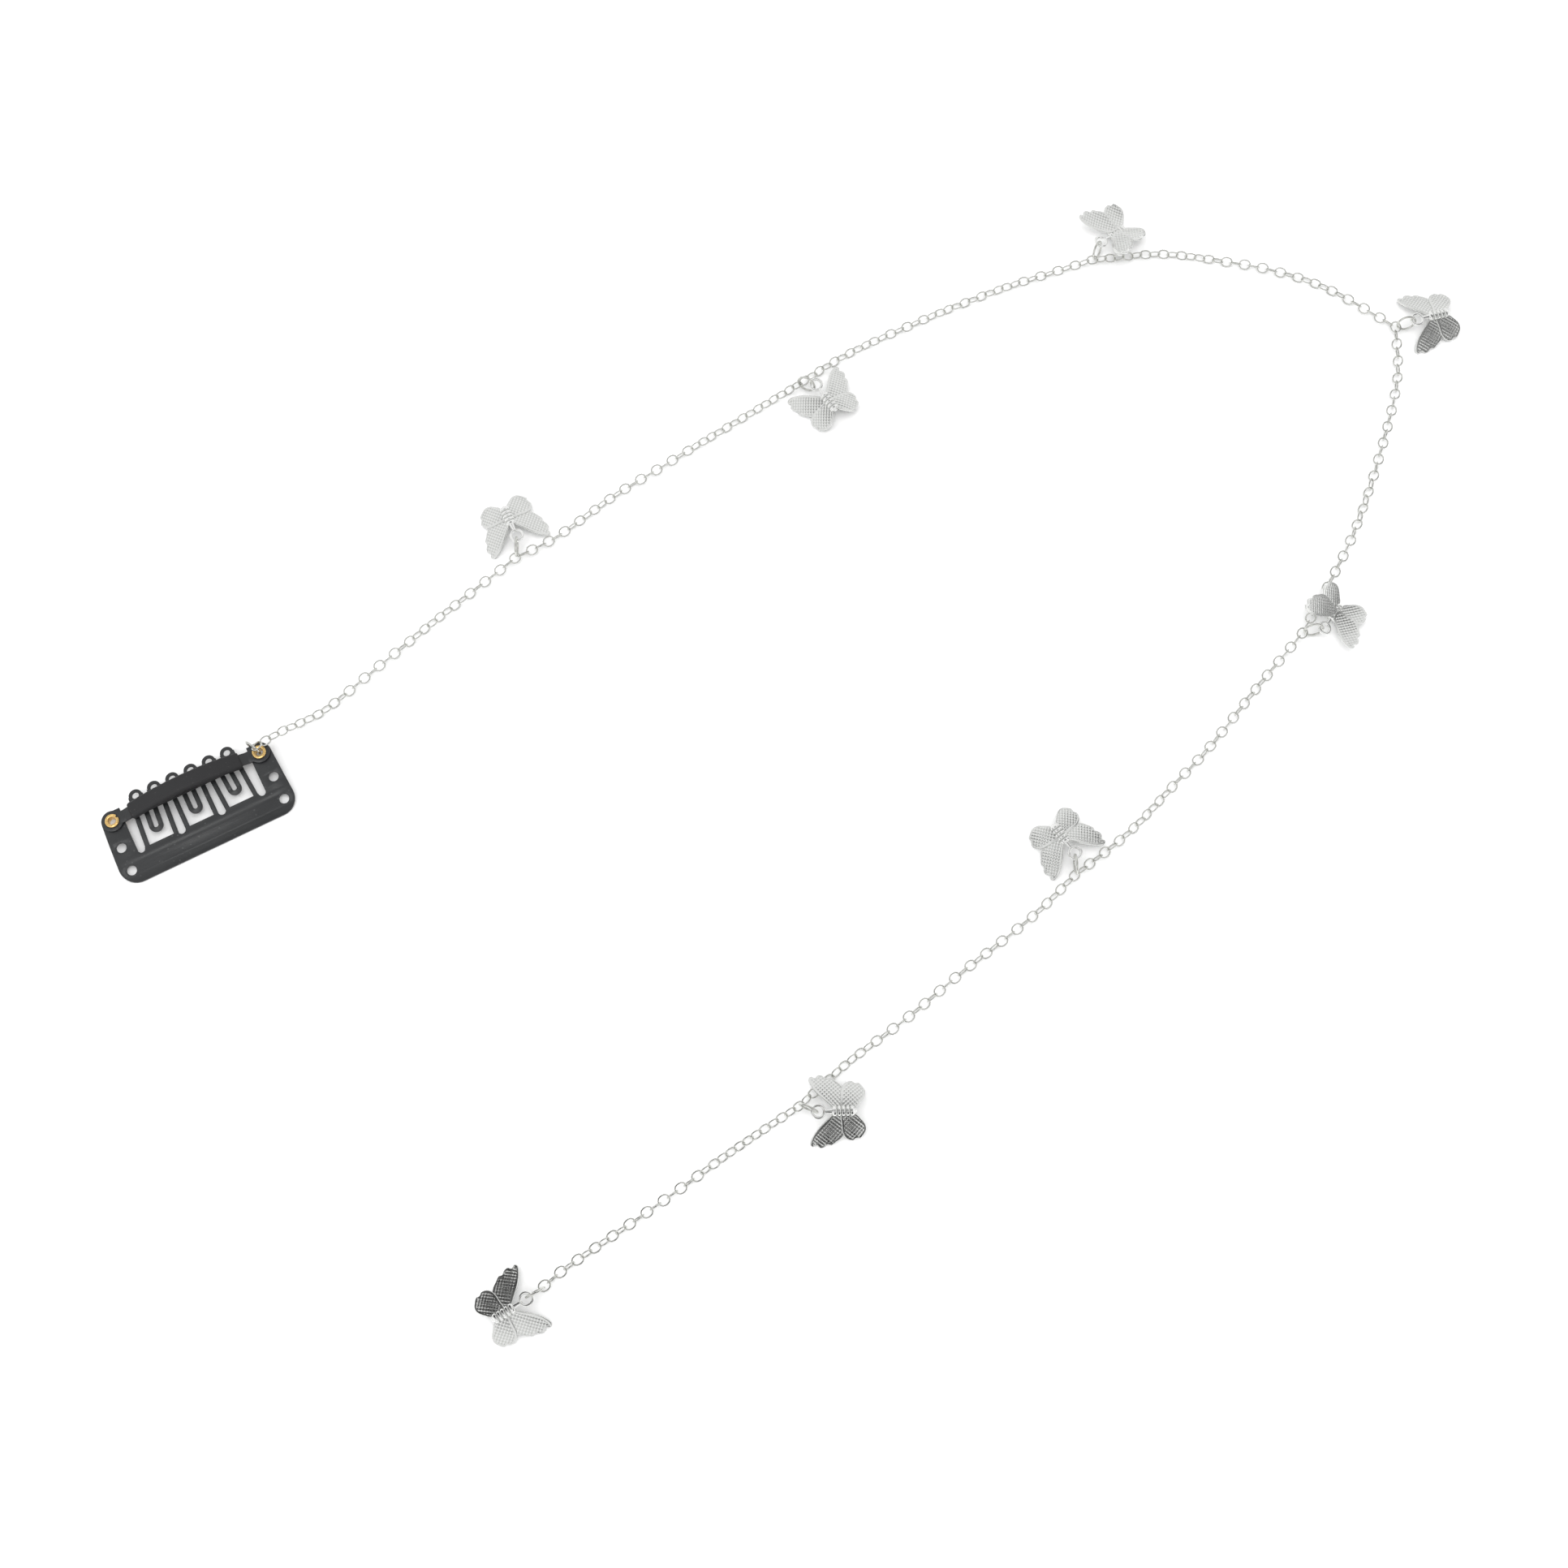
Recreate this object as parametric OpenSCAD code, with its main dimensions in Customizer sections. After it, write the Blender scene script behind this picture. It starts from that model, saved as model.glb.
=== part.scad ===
// Hair chain: a small comb clip, a fine cable chain and eight butterfly charms on jump rings.
// It lies on a flat surface at z = 0, with the clip's length along X.
// The origin is midway between the clip's four sewing holes, on that surface.

/* [Clip plate] */
// Length of the clip along its lower edge
clip_l = 32; // [31:0.2:36]
// Depth of the plate from its lower edge to the end of its arms
clip_w = 13.4; // [13:0.1:14.4]
// Thickness of the sheet steel
plate_t = 0.4; // [0.3:0.05:0.5]
// Angle at which each end leans in
end_lean = 3; // [0:0.5:4]
// Radius of the plate's lower corners
corner_r = 3; // [1.5:0.25:4]
// Radius to which the plate is bowed over its depth
bow_r = 38; // [32:1:60]
// Distance from the plate's lower edge to the crest of the bow
bow_crest = 9.6; // [8:0.2:10.4]
// Distance between the two columns of sewing holes
hole_dx = 27.8; // [27:0.1:28.4]
// Distance between the two sewing holes of one column
hole_dy = 4.2; // [3:0.1:4.4]
// Diameter of a sewing hole
hole_d = 1.7; // [1:0.1:2]
// Distance from the lower sewing holes to the plate's lower edge
hole_edge = 2.4; // [2:0.1:3]

/* [Comb] */
// Distance between neighbouring loops at the tips of the comb
loop_pitch = 3.35; // [3.1:0.05:3.4]
// Distance between neighbouring groups of teeth at their roots
root_pitch = 7.35; // [7:0.05:7.5]
// Width of the strip that the comb is bent from
strip_w = 0.8; // [0.5:0.05:0.85]
// Width of the wide slots at their roots
wide_slot = 4.4; // [4:0.1:4.6]
// Outer width of the tongue in each wide slot
tongue_w = 2.4; // [2.1:0.1:2.6]
// How far the tongues stay above the bottoms of the wide slots
tongue_gap = 1.5; // [1:0.1:2.5]
// Width of the round slots beside the end arms
end_slot = 1.3; // [1:0.1:1.5]
// Outer diameter of the round loop at each tip
loop_d = 2.3; // [2:0.05:2.5]
// Diameter of the hole in each loop
loop_hole = 1.2; // [0.8:0.05:1.4]
// Depth of the plain band below the comb
band_w = 5; // [4.4:0.1:6]
// Distance from the plate's lower edge to the loops' centres
loop_reach = 14.2; // [13.8:0.1:15]

/* [Bar and sleeve] */
// Diameter of the bar's round end tabs
tab_d = 3.7; // [3.2:0.1:4]
// How far the plate's arms stand out round the tabs
tab_margin = 0.1; // [0.1:0.05:0.4]
// Width of the bar between its tabs
bar_w = 2.1; // [1.6:0.1:2.6]
// Thickness of the bar
bar_t = 0.4; // [0.3:0.05:0.5]
// How far the bar bows up over the comb
bar_rise = 2.2; // [1.8:0.1:2.6]
// Distance from each rivet to the end of the rubber sleeve
sleeve_end = 3.55; // [3.5:0.05:6]
// Thickness of the rubber
sleeve_t = 0.4; // [0.3:0.05:0.5]

/* [Rivets] */
// Diameter of a rivet's flange
flange_d = 2.4; // [2.2:0.05:2.7]
// Thickness of a rivet's flange
flange_t = 0.2; // [0.15:0.05:0.25]
// Diameter of the hole through a rivet
rivet_hole = 1.3; // [1.1:0.05:1.4]
// Wall of a rivet's barrel
rivet_wall = 0.15; // [0.1:0.05:0.2]

/* [Links and rings] */
// Inner length of a chain link
link_l = 1.7; // [1.6:0.02:1.8]
// Inner width of a chain link
link_w = 1.36; // [1.3:0.02:1.5]
// Diameter of a chain link's wire
link_wire = 0.28; // [0.2:0.02:0.3]
// Diameter of the tube that holds the place of the chain's links
chain_d = 1.6; // [1.4:0.1:1.7]
// Outer diameter of a jump ring
ring_d = 3.6; // [3.4:0.05:3.9]
// Diameter of a jump ring's wire
ring_wire = 0.4; // [0.3:0.02:0.42]
// Direction in which the clip's jump ring leaves the right rivet
clip_ring_turn = 116; // [100:2:130]

/* [Butterfly] */
// Reach of a forewing from the body's middle towards the eye
fore_l = 5.4; // [4.8:0.1:5.6]
// Reach of a forewing to the side
fore_w = 6.25; // [5.4:0.05:6.6]
// Reach of a hindwing from the body's middle away from the eye
hind_l = 3.7; // [3.2:0.1:4.2]
// Reach of a hindwing to the side
hind_w = 5.05; // [4.4:0.05:5.6]
// Thickness of a wing
wing_t = 0.36; // [0.25:0.02:0.45]
// Angle at which the wings slope down from the body
droop = 20; // [16:1:22]
// Height of the crown in the middle of each wing
crown = 0.3; // [0.15:0.05:0.4]
// Width of the raised rim round each wing
rim_w = 0.3; // [0.2:0.05:0.4]
// Height of the raised rim
rim_h = 0.1; // [0.05:0.01:0.14]
// Diameter of the ribbed body
body_d = 1.25; // [1.1:0.05:1.4]
// Distance between the ribs of the body
rib_pitch = 0.56; // [0.5:0.02:0.6]
// Distance from the body's middle to the middle of the eye
eye_reach = 4.1; // [4:0.05:4.4]
// Outer diameter of the eye
eye_d = 2.6; // [2.5:0.05:2.9]
// Diameter of the eye's wire
eye_wire = 0.54; // [0.4:0.02:0.56]

/* [Hidden] */
$fn = 48;
// Clearance between neighbouring pieces of the clip, and between links and rings
gap = 0.1;
play = 0.13;
// How far the charms' lowest corners stay clear of the surface
rest_gap = 0.02;
up = [0, 0, 1];

// Route of the chain: one row for each stretch, which ends at a charm's link
route = [
    [[18, 8.5, 2.5], [22, 9, 1.2], [27, 9.5, 0.8], [38, 12.5, 0.8], [49, 15.5, 0.8], [61, 18.5, 0.8],
     [67.5, 20, 1.2]],
    [[76.5, 20.6, 0.8], [88.5, 23, 0.8], [100.5, 24.5, 0.8], [113, 26, 0.8], [127, 27.5, 1.2]],
    [[137.5, 29, 0.8], [150.5, 29, 0.8], [164, 28.5, 0.8], [174, 27.5, 0.8], [187, 25.5, 1.4]],
    [[198, 21.5, 0.8], [206.5, 16, 0.8], [215.5, 9, 0.8], [223, 0.5, 0.8], [229.5, -11.5, 1.2]],
    [[224, -21, 0.8], [212.5, -33, 0.8], [202.5, -42, 0.8], [193.5, -48.5, 0.8], [183.5, -55, 1.4]],
    [[171.5, -60, 0.8], [159, -65.5, 0.8], [150.5, -68.5, 0.8], [139, -72.5, 0.8], [127, -75, 1.2]],
    [[117, -78, 0.8], [102, -81, 0.8], [91, -83.5, 0.8], [79.5, -85.5, 0.8], [73.5, -87, 0.8],
     [68, -88.5, 1.5]],
    [[55, -90, 0.8], [45.5, -91.5, 0.8], [35, -93, 0.8], [23.5, -94.5, 0.8], [19, -95.5, 1.2]]
];
rings_per_stretch = 10;

// How each charm lies, in degrees: where its eye end points, its roll and pitch,
// the way from its link to its eye, the link's roll, the jump ring's tilt, and its lift in mm
charms = [
    //yaw  roll pitch  way link tilt lift
    [268,    1,   -3,   62, -30,   0,  0],
    [ 99,   -5,   -3,  -43, -30,  15,  0],
    [192,  184,  -12,   40,   0,  15,  0],
    [168,   -3,   -3,  -12, -30,  15,  0],
    [207,  166,  -12,  -16,   0,  15,  0],
    [278,    5,   -3,   67, -30,   0,  0],
    [155,   -8,   -3,  -52, -30,   0,  0],
    [  5,    4,   -3,  192,   0,  15,  0]
];

// Vectors
function unit(v) = v / norm(v);
function off(v, n) = unit(v - (v * n) * n);
function heading(a) = [cos(a), sin(a), 0];
function sum(v, i = 0) = i == len(v) - 1 ? v[i] : v[i] + sum(v, i + 1);

// Point at parameter u on the smooth curve through the points p
function on_curve(p, u) =
    let (i = min(floor(u), len(p) - 2), t = u - i)
    let (a = p[max(i - 1, 0)], b = p[i], c = p[i + 1], d = p[min(i + 2, len(p) - 1)])
    b + t * (c - a) / 2 + t * t * (2 * a - 5 * b + 4 * c - d) / 2 + t * t * t * (3 * b - a - 3 * c + d) / 2;
// The same for a closed outline, which gets count points between neighbours
function closed_curve(p, count) =
    let (n = len(p))
    [for (i = [0 : n - 1], k = [0 : count - 1])
        on_curve([p[(i + n - 1) % n], p[i], p[(i + 1) % n], p[(i + 2) % n]], 1 + k / count)];
// Each point of a counter-clockwise outline, moved inwards by d
function inset(p, d) =
    let (n = len(p))
    [for (i = [0 : n - 1]) let (t = unit(p[(i + 1) % n] - p[(i + n - 1) % n])) p[i] + d * [-t.y, t.x]];

// Places children with their own X and Z along the two given directions
module in_frame(at, x, z) {
    y = cross(z, x);
    multmatrix([[x.x, y.x, z.x, at.x], [x.y, y.y, z.y, at.y], [x.z, y.z, z.z, at.z], [0, 0, 0, 1]])
        children();
}

// The plate, seen from above
low_y = -hole_dy / 2 - hole_edge;
arm_y = low_y + clip_w;
arm_r = tab_d / 2 + tab_margin;
root_y = low_y + band_w;
loop_y = low_y + loop_reach;
rivet_y = arm_y - arm_r;
// Distance of a corner's centre from the middle, for a corner of radius r whose centre is at height y
function corner_x(r, y) = clip_l / 2 - (r + (y - low_y) * sin(end_lean)) / cos(end_lean);
rivet_x = corner_x(arm_r, rivet_y);
group_x = [-1, 0, 1];
wide_half = wide_slot / 2;
root_half = wide_half + strip_w;
loop_mid_r = (loop_d + loop_hole) / 4;
arm_in_x = root_pitch + root_half + end_slot;

module end_outline() {
    lean = [cos(end_lean), sin(end_lean)];
    low = [corner_x(corner_r, low_y + corner_r), low_y + corner_r];
    top = [rivet_x, rivet_y];
    translate(low) circle(corner_r);
    translate(top) circle(arm_r);
    polygon([[0, low_y], [low.x, low_y], low, low + corner_r * lean, top + arm_r * lean, top,
             [top.x, arm_y], [0, arm_y]]);
}
// A straight strip from a to b
module strip(a, b, w) {
    translate(a) rotate(atan2(b.y - a.y, b.x - a.x)) translate([0, -w / 2]) square([norm(b - a), w]);
}
// One side of a group of teeth: its outer strip, its loop and half of its tongue
module half_group(root_x, tip_x, side) {
    leg = (tongue_w - strip_w) / 2;
    tongue_y = root_y + tongue_gap + tongue_w / 2;
    low_x = root_x + (tip_x - root_x) * (tongue_y - root_y) / (loop_y - root_y);
    loop = [tip_x + side * loop_pitch / 2, loop_y];
    strip([root_x + side * (wide_half + strip_w / 2), root_y - strip_w],
          loop + [side * loop_mid_r, 0], strip_w);
    strip([low_x + side * leg, tongue_y], loop - [side * loop_mid_r, 0], strip_w);
    intersection() {
        translate([low_x, tongue_y]) difference() {
            circle(d = tongue_w);
            circle(d = tongue_w - 2 * strip_w);
        }
        translate([low_x - tongue_w, tongue_y - tongue_w]) square([2 * tongue_w, tongue_w]);
    }
    translate(loop) circle(d = loop_d);
}
module plate_shape() {
    difference() {
        union() {
            difference() {
                union() {
                    end_outline();
                    mirror([1, 0]) end_outline();
                }
                translate([-arm_in_x, root_y]) square([2 * arm_in_x, clip_w]);
                for (x = [-1.5, -0.5, 0.5, 1.5]) translate([x * root_pitch, root_y])
                    circle(d = abs(x) > 1 ? end_slot : root_pitch - 2 * root_half);
            }
            for (i = group_x, side = [-1, 1]) half_group(i * root_pitch, i * 2 * loop_pitch, side);
        }
        for (i = group_x, side = [-1, 1])
            translate([i * 2 * loop_pitch + side * loop_pitch / 2, loop_y]) circle(d = loop_hole);
        for (x = [-1, 1], y = [-1, 1]) translate([x * hole_dx / 2, y * hole_dy / 2]) circle(d = hole_d);
        for (x = [-1, 1]) translate([x * rivet_x, rivet_y]) circle(d = barrel_d + 2 * gap);
    }
}

// The bow of the plate, whose underside meets z = 0 at the lower edge
crest_y = low_y + bow_crest;
bow_low = sqrt(bow_r * bow_r - bow_crest * bow_crest);
function under_z(y) = sqrt(bow_r * bow_r - pow(y - crest_y, 2)) - bow_low;
crest_z = bow_r - bow_low + plate_t;
module bow_shell(r) {
    translate([0, crest_y, -bow_low]) rotate([0, 90, 0]) cylinder(r = r, h = clip_l + 2, center = true, $fn = 200);
}
module clip_plate() {
    color([0.13, 0.13, 0.14]) difference() {
        intersection() {
            linear_extrude(2 * crest_z) plate_shape();
            bow_shell(bow_r + plate_t);
        }
        bow_shell(bow_r);
    }
}

// The bar: flat tabs, an arc that bows up, and two small arcs that lead into it
tab_z = crest_z + gap;
bar_z = tab_z + bar_t / 2;
foot_r = 1.5;
foot_x = rivet_x - tab_d / 2 - 0.2;
arch_a = 2 * atan(bar_rise / foot_x);
arch_r = foot_x / sin(arch_a) - foot_r;
arch_z = bar_z + bar_rise - arch_r;
// A sector of a flat ring, from angle a to angle b
module ring_sector(r, w, a, b) {
    far = 2 * r;
    intersection() {
        difference() {
            circle(r + w / 2);
            circle(r - w / 2);
        }
        polygon([[0, 0], far * [cos(a), sin(a)], far * [cos(b), sin(b)]]);
    }
}
module bar_profile() {
    translate([0, arch_z]) ring_sector(arch_r, bar_t, 90 - arch_a, 90 + arch_a);
    translate([foot_x, bar_z + foot_r]) ring_sector(foot_r, bar_t, 270 - arch_a, 270);
    translate([-foot_x, bar_z + foot_r]) ring_sector(foot_r, bar_t, 270, 270 + arch_a);
    for (x = [-rivet_x, foot_x]) translate([x, tab_z]) square([rivet_x - foot_x, bar_t]);
}
module clip_bar() {
    color([0.1, 0.1, 0.11]) difference() {
        union() {
            translate([0, rivet_y, 0]) rotate([90, 0, 0]) linear_extrude(bar_w, center = true, $fn = 200)
                bar_profile();
            for (x = [-rivet_x, rivet_x]) translate([x, rivet_y, tab_z]) cylinder(d = tab_d, h = bar_t);
        }
        for (x = [-rivet_x, rivet_x]) translate([x, rivet_y, tab_z - bar_t])
            cylinder(d = barrel_d + 2 * gap, h = 3 * bar_t);
    }
}
module grip_sleeve() {
    wrap = gap + sleeve_t;
    thick = bar_t + 2 * wrap;
    round_y = bar_w / 2 + wrap - thick / 2;
    sweep = 2 * asin((rivet_x - sleeve_end) / arch_r);
    color([0.07, 0.07, 0.07]) translate([0, rivet_y, arch_z]) rotate([90, 0, 0])
        rotate([0, 0, 90 - sweep / 2]) rotate_extrude(angle = sweep, $fn = 200)
            translate([arch_r, 0]) difference() {
                union() {
                    square([thick, 2 * round_y], center = true);
                    for (y = [-round_y, round_y]) translate([0, y]) circle(d = thick);
                }
                square([bar_t + 2 * gap, bar_w + 2 * gap], center = true);
            }
}

// The rivets: a barrel with a flange over the tab and one under the plate
barrel_d = rivet_hole + 2 * rivet_wall;
rivet_top = tab_z + bar_t + gap + flange_t;
rivet_low = under_z(rivet_y + flange_d / 2) - gap - flange_t;
module rivet(side) {
    color([0.75, 0.55, 0.25]) translate([side * rivet_x, rivet_y, 0]) difference() {
        union() {
            translate([0, 0, rivet_low]) cylinder(d = barrel_d, h = rivet_top - rivet_low);
            for (z = [rivet_low, rivet_top - flange_t]) translate([0, 0, z]) cylinder(d = flange_d, h = flange_t);
        }
        translate([0, 0, rivet_low - 1]) cylinder(d = rivet_hole, h = rivet_top - rivet_low + 2);
    }
}

// A jump ring and an oval link, both lying flat
ring_r = (ring_d - ring_wire) / 2;
module jump_ring() {
    color([0.85, 0.86, 0.84]) rotate_extrude() translate([ring_r, 0]) circle(d = ring_wire);
}
module oval_link() {
    bend = (link_w + link_wire) / 2;
    half = (link_l - link_w) / 2;
    color([0.85, 0.86, 0.84]) {
        for (a = [0, 180]) rotate(a) {
            translate([half, 0, 0]) rotate(-90) rotate_extrude(angle = 180) translate([bend, 0])
                circle(d = link_wire);
            translate([-half, bend, 0]) rotate([0, 90, 0]) cylinder(d = link_wire, h = 2 * half);
        }
    }
}

// The clip's jump ring stands up in the right rivet and rests on the surface
clip_way = heading(clip_ring_turn);
barrel_bend = ring_r - sqrt(ring_r * ring_r - pow((rivet_top - rivet_low) / 2, 2));
rivet_mid = [rivet_x, rivet_y, (rivet_top + rivet_low) / 2] - barrel_bend / 2 * clip_way;
clip_ring_rise = (ring_d / 2 - rivet_mid.z) / ring_r;
clip_ring_c = rivet_mid + ring_r * (sqrt(1 - clip_ring_rise * clip_ring_rise) * clip_way + clip_ring_rise * up);
// Where on the ring the first link hangs, and how far the link leans
hook_a = 60;
first_lean = 35;
hook = clip_ring_c + ring_r * (sin(hook_a) * up - cos(hook_a) * clip_way);
first_normal = sin(first_lean) * clip_way + cos(first_lean) * up;
first_x = off(route[0][0] - hook, first_normal);
link_seat = link_l / 2 - ring_wire / 2 - play;
link_reach = link_l / 2 + link_wire + play;
first_c = hook + link_seat * first_x;
module clip_ring() {
    in_frame(clip_ring_c, clip_way, cross(up, clip_way)) jump_ring();
}
module first_link() {
    in_frame(first_c, first_x, first_normal) oval_link();
}

// The charm's links lie on the route's stretches' ends
function link_at(i) = route[i][len(route[i]) - 1];
function link_x(i) =
    let (back = link_at(i) - route[i][len(route[i]) - 2], ahead = i < 7 ? route[i + 1][0] - link_at(i) : back)
    unit(unit(back) + unit(ahead));
// Points of one stretch of the chain, from clear of one link to clear of the next
function stretch_points(i) =
    let (n = len(route[i]))
    let (start = i == 0 ? first_c : link_at(i - 1), start_x = i == 0 ? first_x : link_x(i - 1))
    concat([start + link_reach * start_x], [for (k = [0 : n - 2]) route[i][k]],
           [link_at(i) - link_reach * link_x(i)]);
// A tube of diameter d through the points p, whose ends face along first and last
module tube(p, d, rings, first, last, sides = 8) {
    n = len(p) - 1;
    u = [for (k = [0 : rings - 1]) n * k / (rings - 1)];
    points = [for (k = [0 : rings - 1])
        let (c = on_curve(p, u[k]))
        let (t = k == 0 ? first : k == rings - 1 ? last
            : unit(on_curve(p, u[k] + 0.05) - on_curve(p, u[k] - 0.05)))
        let (side = off(cross(t, up), t), top = cross(side, t))
        for (j = [0 : sides - 1])
            let (a = 360 * (j + 0.5) / sides)
            c + d / 2 / cos(180 / sides) * (cos(a) * side + sin(a) * top)];
    walls = [for (k = [0 : rings - 2], j = [0 : sides - 1])
        let (a = k * sides + j, b = k * sides + (j + 1) % sides)
        each [[a, b, a + sides], [b, b + sides, a + sides]]];
    base = (rings - 1) * sides;
    ends = [[for (j = [sides - 1 : -1 : 0]) j], [for (j = [0 : sides - 1]) base + j]];
    polyhedron(points, concat(walls, ends));
}
module chain() {
    color([0.8, 0.81, 0.8]) for (i = [0 : len(route) - 1])
        tube(stretch_points(i), chain_d, rings_per_stretch, i == 0 ? first_x : link_x(i - 1), link_x(i));
}

// Half outlines of the wings as shares of their reach, seen from above and counter-clockwise
fore_shape = [[0.24, 0.04], [0.46, 0.22], [0.70, 0.48], [0.91, 0.74], [1.00, 0.92], [0.92, 0.99], [0.81, 0.94],
              [0.61, 1.00], [0.50, 0.97], [0.42, 0.88], [0.30, 0.87], [0.16, 0.80], [-0.06, 0.61],
              [-0.02, 0.37], [0.02, 0.04]];
hind_shape = [[0.16, 0.06], [0.11, 0.44], [0.01, 0.76], [-0.19, 0.91], [-0.46, 1.00], [-0.62, 0.91],
              [-0.78, 0.87], [-0.97, 0.73], [-1.00, 0.57], [-0.86, 0.38], [-0.65, 0.20], [-0.35, 0.06]];
function scaled(p, x, y) = [for (q = p) [q.x * x, q.y * y]];
fore_outline = closed_curve(scaled(fore_shape, fore_l, fore_w), 2);
hind_outline = closed_curve(scaled(hind_shape, hind_l, hind_w), 2);
function middle(p) = sum(p) / len(p);
fore_c = middle(fore_outline);
hind_c = middle(hind_outline);
fore_r = pow(fore_w / 2, 2) / 2 / crown;
hind_r = pow(hind_w / 2, 2) / 2 / crown;
hind_lift = 0.12;

// A wing: its outline cut from a domed sheet, with the field inside its rim sunk
module wing(outline, c, r, lift) {
    tall = 3;
    translate([0, 0, lift]) difference() {
        intersection() {
            translate([0, 0, -tall]) linear_extrude(2 * tall) polygon(outline);
            dome(c, r, rim_h);
        }
        dome(c, r, -wing_t);
        difference() {
            translate([0, 0, -tall]) linear_extrude(2 * tall) polygon(inset(outline, rim_w));
            dome(c, r, 0);
        }
    }
}
module dome(c, r, rise) {
    translate([c.x, c.y, crown - r]) rotate([90, 0, 0]) sphere(r + rise, $fn = 96);
}
ribs = 5;
rib_x = [for (i = [0 : ribs - 1]) (i - (ribs - 1) / 2) * rib_pitch];
tail_d = 0.85;
body_lift = 0.12;
neck_x = eye_reach - eye_d / 2 + eye_wire / 2;
eye_r = (eye_d - eye_wire) / 2;
module body_profile() {
    intersection() {
        union() {
            for (x = rib_x) translate([0, x]) circle(d = body_d);
            translate([0, rib_x[0] - rib_pitch]) circle(d = tail_d);
            polygon([[-1, 0], [body_d / 2 - 0.1, 0], [body_d / 2 - 0.12, rib_x[4]], [eye_wire * 0.55, neck_x],
                     [-1, neck_x]]);
        }
        translate([0, -eye_reach]) square([eye_reach, 2 * eye_reach]);
    }
}
module butterfly_form() {
    color([0.85, 0.86, 0.83]) {
        for (side = [0, 1]) mirror([0, side, 0]) rotate([-droop, 0, 0]) {
            wing(fore_outline, fore_c, fore_r, 0);
            wing(hind_outline, hind_c, hind_r, hind_lift);
        }
        translate([0, 0, body_lift]) rotate([0, 90, 0]) rotate_extrude() body_profile();
        translate([eye_reach, 0, 0]) rotate_extrude() translate([eye_r, 0]) circle(d = eye_wire);
    }
}

// Height of the lowest point of a butterfly that is rolled and pitched about its body's middle
function dome_z(p, c, r, rise) = sqrt(pow(r + rise, 2) - pow(norm(p - c), 2)) + crown - r;
function wing_points(outline, c, r, lift, rise) =
    [for (p = outline, side = [-1, 1])
        let (z = dome_z(p, c, r, rise) + lift)
        [p.x, side * (p.y * cos(droop) + z * sin(droop)), z * cos(droop) - p.y * sin(droop)]];
low_points = concat(wing_points(fore_outline, fore_c, fore_r, 0, -wing_t),
                    wing_points(hind_outline, hind_c, hind_r, hind_lift, -wing_t),
                    wing_points(fore_outline, fore_c, fore_r, 0, rim_h),
                    wing_points(hind_outline, hind_c, hind_r, hind_lift, rim_h));
round_points = concat([for (x = rib_x) [x, 0, body_lift, body_d / 2]],
                      [for (a = [0 : 30 : 330]) [eye_reach + eye_r * cos(a), eye_r * sin(a), 0, eye_wire / 2]]);
function height(p, roll, pitch) = cos(pitch) * (sin(roll) * p.y + cos(roll) * p.z) - sin(pitch) * p.x;
function lowest(roll, pitch) =
    min(concat([for (p = low_points) height(p, roll, pitch)],
               [for (p = round_points) height(p, roll, pitch) - p[3]]));

// Where a charm hangs: its ring passes round a wire of its link and through its eye
function turned(v, q) =
    let (a = [v.x, v.y * cos(q[1]) - v.z * sin(q[1]), v.y * sin(q[1]) + v.z * cos(q[1])])
    let (b = [a.x * cos(q[2]) + a.z * sin(q[2]), a.y, a.z * cos(q[2]) - a.x * sin(q[2])])
    [b.x * cos(q[0]) - b.y * sin(q[0]), b.x * sin(q[0]) + b.y * cos(q[0]), b.z];
function body_z(q) = q[6] + rest_gap - lowest(q[1], q[2]);
// Link's normal, and the middle of the wire that the ring holds
function link_n(i) =
    let (q = charms[i], flat = off(cross(link_x(i), up), up))
    let (side = flat * heading(q[3]) > 0 ? flat : -flat)
    off(cos(q[4]) * up + sin(q[4]) * side, link_x(i));
function held_wire(i) =
    let (x = link_x(i), y = cross(link_n(i), x), way = heading(charms[i][3]))
    let (flat = unit([way * x, way * y]))
    link_at(i) + (sign(flat.x) * (link_l - link_w) / 2 + flat.x * (link_w + link_wire) / 2) * x
        + flat.y * (link_w + link_wire) / 2 * y;
link_play = link_wire / 2 + play + ring_wire / 2;
eye_play = eye_wire / 2 + play + ring_wire / 2;
ring_span = 2 * ring_r - link_play - eye_play;
function eye_way(i) = off(heading(charms[i][3]), turned(up, charms[i]));
// Middle of the eye's wire where the ring passes it
function eye_hook(i) =
    let (q = charms[i], w = held_wire(i))
    let (z = body_z(q) + turned([eye_reach, 0, 0], q).z - eye_r * eye_way(i).z)
    let (flat = sqrt(max(ring_span * ring_span - pow(z - w.z, 2), 0.01)))
    [w.x + flat * cos(q[3]), w.y + flat * sin(q[3]), z];
function body_at(i) = eye_hook(i) + eye_r * eye_way(i) - turned([eye_reach, 0, 0], charms[i]);
function ring_way(i) = unit(eye_hook(i) - held_wire(i));
function ring_at(i) = (held_wire(i) - link_play * ring_way(i) + eye_hook(i) + eye_play * ring_way(i)) / 2;
function ring_normal(i) =
    let (q = ring_way(i), tilt = charms[i][5], side = off(cross(up, q), q))
    cross(q, off(cos(tilt) * off(up, q) + sin(tilt) * side, q));

module charm_link(i) {
    in_frame(link_at(i), link_x(i), link_n(i)) oval_link();
}
module charm_ring(i) {
    in_frame(ring_at(i), ring_way(i), ring_normal(i)) jump_ring();
}
module butterfly(i) {
    q = charms[i];
    translate(body_at(i)) rotate([q[1], q[2], q[0]]) butterfly_form();
}

clip_plate();
clip_bar();
grip_sleeve();
rivet(-1);  // rivet_left
rivet(1);  // rivet_right
clip_ring();
first_link();
chain();
for (i = [0 : 7]) {
    charm_link(i);
    charm_ring(i);
    butterfly(i);
}
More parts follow.
